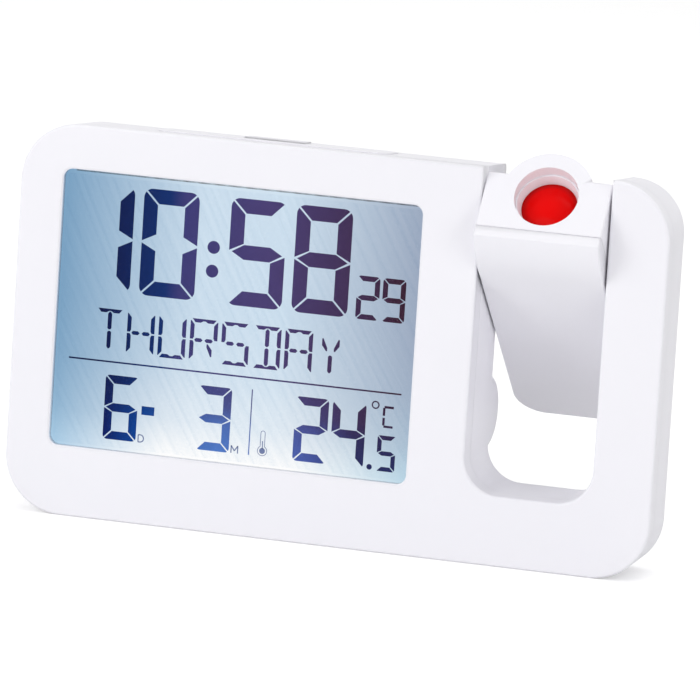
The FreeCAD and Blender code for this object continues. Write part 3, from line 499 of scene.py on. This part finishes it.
def band(points, width):
    """Four-sided outlines that follow a line of points, one for each stretch."""
    outlines = []
    for (x0, z0), (x1, z1) in zip(points, points[1:]):
        length = math.hypot(x1 - x0, z1 - z0)
        side_x = -(z1 - z0) / length * width / 2
        side_z = (x1 - x0) / length * width / 2
        outlines.append([(x0 + side_x, z0 + side_z), (x1 + side_x, z1 + side_z),
                         (x1 - side_x, z1 - side_z), (x0 - side_x, z0 - side_z)])
    return outlines


long_rule = box_outline(14.2, 38.98, 99.8, 39.38)
short_rule = box_outline(61.75, 20.0, 62.02, 36.3)
flat_piece("display_rules", [long_rule, short_rule], ink_mat)

degree_ring = band(arc(93.45, 35.95, 0.85, 0.85, 0, 2 * math.pi, 24), width=0.34)
letter_c = [box_outline(95.75, 35.35, 98.1, 35.95), box_outline(95.4, 33.5, 96.0, 35.45),
            box_outline(95.4, 31.1, 96.0, 33.0), box_outline(95.75, 30.55, 98.1, 31.1)]
flat_piece("display_degree", degree_ring + letter_c, ink_mat)

pen, hairline = 0.28, 0.16
letter_d = [(33.3, 20.05), (33.3, 21.85)]
letter_d += arc(33.85, 20.95, 0.85, 0.9, math.pi / 2, -math.pi / 2, 8) + [(33.3, 20.04)]
letter_m = [(57.35, 20.0), (57.35, 21.85), (58.2, 20.6), (59.05, 21.85), (59.05, 20.0)]
stem = [(64.75, 22.4)] + arc(65.3, 25.75, 0.55, 0.6, math.pi, 0, 8) + [(65.85, 22.4)]
bulb = arc(65.3, 21.35, 1.2, 1.2, math.radians(62), math.radians(-242), 18)
marks = band(letter_d, pen) + band(letter_m, pen) + band(stem, hairline) + band(bulb, hairline)
marks += [disc(65.3, 21.35, radius=0.75), box_outline(65.18, 21.9, 65.42, 23.8)]
flat_piece("display_marks", marks, mark_mat)


# Projection lens
# Red-tinted acrylic, moulded and polished, set in its cell deep in the barrel: glossy and
# saturated, with painted shade that darkens it towards its rim.
lens_mat, tree = start_material("red_tinted_acrylic_lens")
lens_low, lens_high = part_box("projection_lens")
lens_middle = (lens_low + lens_high) / 2
lens_reach = 7.0
from_middle = add(tree, "ShaderNodeVectorMath", {0: own_place(tree), 1: lens_middle},
                  operation="DISTANCE")
reach = add(tree, "ShaderNodeMath", {0: from_middle.outputs["Value"], 1: lens_reach * MM},
            operation="DIVIDE")
# The last stop, #B00303, is painted shade along the lens's rim.
tint = ramp(tree, reach.outputs[0], [(0.0, "#EC0303"), (0.75, "#E20202"), (0.97, "#B00303")])
cover(tree, {"Base Color": tint, "Roughness": 0.08, "IOR": 1.49, "Specular IOR Level": 0.06})
smooth_copy("projection_lens", lens_mat, "lens_carrier")


# Buttons, slider and focus wheel
# Grey ABS with a slightly rougher skin than the casing. The caps sit loose in the casing's holes,
# and the wheel turns on the barrel.
grey_abs = moulded_plastic("grey_moulded_abs", "#BDBCC2", "#B5B4BB", roughness=0.5,
                           grain_mm=0.25, depth_mm=0.012)
for name in ("button_set", "button_up", "button_down", "button_alarm", "button_light"):
    smooth_copy(name, grey_abs, name)
smooth_copy("slide_knob", grey_abs, "lamp_slider")
smooth_copy("focus_wheel", grey_abs, "focus_wheel", sharp_from=50)


# Screws, springs, washers and the crystal's can
# Steel with a thin coat of zinc or nickel, pressed, wound or thread-rolled. The coat is bright,
# with a fine mottle in its tone and its polish.
def plated_metal(name, colour, shade, roughness, mottle_mm):
    """Metal whose colour and roughness change a little from patch to patch."""
    made, tree = start_material(name)
    mottle = noise(tree, mottle_mm)
    roughness_swing = 0.06
    rough = add(tree, "ShaderNodeMapRange", {"Value": mottle,
                                             "To Min": roughness - roughness_swing,
                                             "To Max": roughness + roughness_swing})
    cover(tree, {"Base Color": blend(tree, mottle, linear(colour), linear(shade)),
                 "Roughness": rough.outputs[0], "Metallic": 1.0})
    return made


zinc = plated_metal("zinc_plated_steel", "#B9BCC0", "#A3A7AD", roughness=0.32, mottle_mm=0.5)
paint(["case_screws", "board_screws", "arm_screws"], zinc)
nickel = plated_metal("nickel_plated_spring_steel", "#CFCBC2", "#BDB8AE", roughness=0.24,
                      mottle_mm=0.4)
paint(["battery_spring", "battery_contact", "hinge_washers", "quartz_crystal"], nickel)


# Circuit boards
# Glass-fibre board under green solder mask, with a fine net of copper tracks showing through.
# Three screws hold the main board; the projector's board sits in the arm.
board_mat, tree = start_material("green_solder_mask_board")
tracks = add(tree, "ShaderNodeTexBrick", {
    "Vector": own_place(tree), "Color1": linear("#1E5A3A"), "Color2": linear("#1B5235"),
    "Mortar": linear("#3C8459"), "Scale": 1 / MM, "Mortar Size": 0.12, "Mortar Smooth": 0.2,
    "Brick Width": 3.1, "Row Height": 1.3})
cover(tree, {"Base Color": tracks.outputs["Color"], "Roughness": 0.28, "IOR": 1.55})
paint(["main_board", "projector_board"], board_mat)


# Backlight
# A light guide of milky acrylic over a white tray, lit from below by three lamps in white
# housings. The panel's contact strip is silicone rubber with fine carbon stripes.
milky_mat, tree = start_material("milky_acrylic_guide")
dot_mm = 0.8
dots = add(tree, "ShaderNodeTexVoronoi", {"Vector": own_place(tree), "Scale": 1 / (dot_mm * MM)})
milk = ramp(tree, dots.outputs["Distance"], [(0.15, "#F4F8FB"), (0.4, "#E3EBF2")])
cover(tree, {"Base Color": milk, "Roughness": 0.3, "IOR": 1.49})
paint(["light_guide"], milky_mat)
tray_mat = moulded_plastic("white_tray_polycarbonate", "#E9EAEC", "#E2E3E6", roughness=0.5,
                           grain_mm=0.3, depth_mm=0.01)
paint(["lcd_tray", "backlight_leds"], tray_mat)

zebra_mat, tree = start_material("striped_silicone_rubber")
stripe_mm = 1.2
stripes = add(tree, "ShaderNodeTexWave", {"Vector": own_place(tree),
                                          "Scale": 1 / (stripe_mm * MM)}, bands_direction="X")
bars = ramp(tree, stripes.outputs["Fac"], [(0.45, "#26262A"), (0.55, "#B9B4AE")])
cover(tree, {"Base Color": bars, "Roughness": 0.7})
paint(["zebra_connector"], zebra_mat)


# Small parts on the boards, and the light tube
# Black epoxy on the chip, thermistor and sounder, black moulded nylon for the switches, inlet,
# connector and light tube, and aluminium cans in a dark sleeve. The board's parts are soldered on.
epoxy = moulded_plastic("black_epoxy_resin", "#1B1B1E", "#232327", roughness=0.35,
                        grain_mm=0.4, depth_mm=0.02)
paint(["control_chip", "thermistor", "sounder"], epoxy)
black_nylon = moulded_plastic("black_moulded_nylon", "#202124", "#292A2E", roughness=0.5,
                              grain_mm=0.25, depth_mm=0.015)
paint(["power_inlet", "lead_connector", "button_switches", "snooze_switch", "slide_switch",
       "light_tube"], black_nylon)

can_low, can_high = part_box("capacitors")
can_mat, tree = start_material("sleeved_aluminium_can")
sleeve_end = 0.93
parts = add(tree, "ShaderNodeSeparateXYZ", {"Vector": own_place(tree)})
depth = add(tree, "ShaderNodeMapRange", {"Value": parts.outputs["Y"], "From Min": can_low.y,
                                         "From Max": can_high.y})
bare = add(tree, "ShaderNodeMath", {0: depth.outputs[0], 1: sleeve_end},
           operation="GREATER_THAN").outputs[0]
coat = ramp(tree, bare, [(0.4, "#22264A"), (0.6, "#C4C6C9")])
cover(tree, {"Base Color": coat, "Roughness": 0.35, "Metallic": bare})
paint(["capacitors"], can_mat)


# Battery cells
# Steel cans in a printed film jacket: plain charcoal with a copper-coloured band at the positive
# end, and bare metal at the nub. They lie end to end in the hump.
band_colours = [(0.0, "#2B2D33"), (0.72, "#2E3037"), (0.735, "#B07A4A"), (0.97, "#B88352")]
jacket_end = 0.975
for name in ("battery_cell_left", "battery_cell_right"):
    low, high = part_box(name)
    jacket_mat, tree = start_material("printed_cell_jacket_" + name.rsplit("_", 1)[1])
    parts = add(tree, "ShaderNodeSeparateXYZ", {"Vector": own_place(tree)})
    along = add(tree, "ShaderNodeMapRange", {"Value": parts.outputs["X"], "From Min": low.x,
                                             "From Max": high.x}).outputs[0]
    bare = add(tree, "ShaderNodeMath", {0: along, 1: jacket_end},
               operation="GREATER_THAN").outputs[0]
    tint = blend(tree, bare, ramp(tree, along, band_colours), linear("#C9C6BF"))
    cover(tree, {"Base Color": tint, "Roughness": 0.28, "Metallic": bare})
    paint([name], jacket_mat)


# Projector's inner parts
# Acetal hinge pivots, a lead in a grey sheath, a clear condenser, a dark film slide and a lamp of
# tinted epoxy. All but the pivots and the lead stack up inside the barrel.
acetal = moulded_plastic("natural_acetal", "#D9D8D4", "#D1D0CC", roughness=0.4,
                         grain_mm=0.3, depth_mm=0.01)
paint(["hinge_pivot_left", "hinge_pivot_right"], acetal)
sheath = moulded_plastic("grey_vinyl_sheath", "#8E9096", "#84868D", roughness=0.55,
                         grain_mm=0.3, depth_mm=0.02)
paint(["projector_lead"], sheath)

glass_mat, tree = start_material("clear_moulded_acrylic")
rough = add(tree, "ShaderNodeMapRange", {"Value": noise(tree, 2), "To Min": 0.02, "To Max": 0.08})
cover(tree, {"Base Color": linear("#F4F7F8"), "IOR": 1.49, "Roughness": rough.outputs[0],
             "Transmission Weight": 1.0})
paint(["condenser_lens"], glass_mat)
slide_mat = moulded_plastic("dark_film_slide", "#17181D", "#202127", roughness=0.25,
                            grain_mm=0.6, depth_mm=0.004)
paint(["picture_slide"], slide_mat)

lamp_mat, tree = start_material("red_epoxy_lamp")
tint = ramp(tree, noise(tree, 2), [(0.3, "#A8131A"), (0.7, "#BE1E22")])
cover(tree, {"Base Color": tint, "Roughness": 0.12, "IOR": 1.55})
paint(["projector_lamp"], lamp_mat)
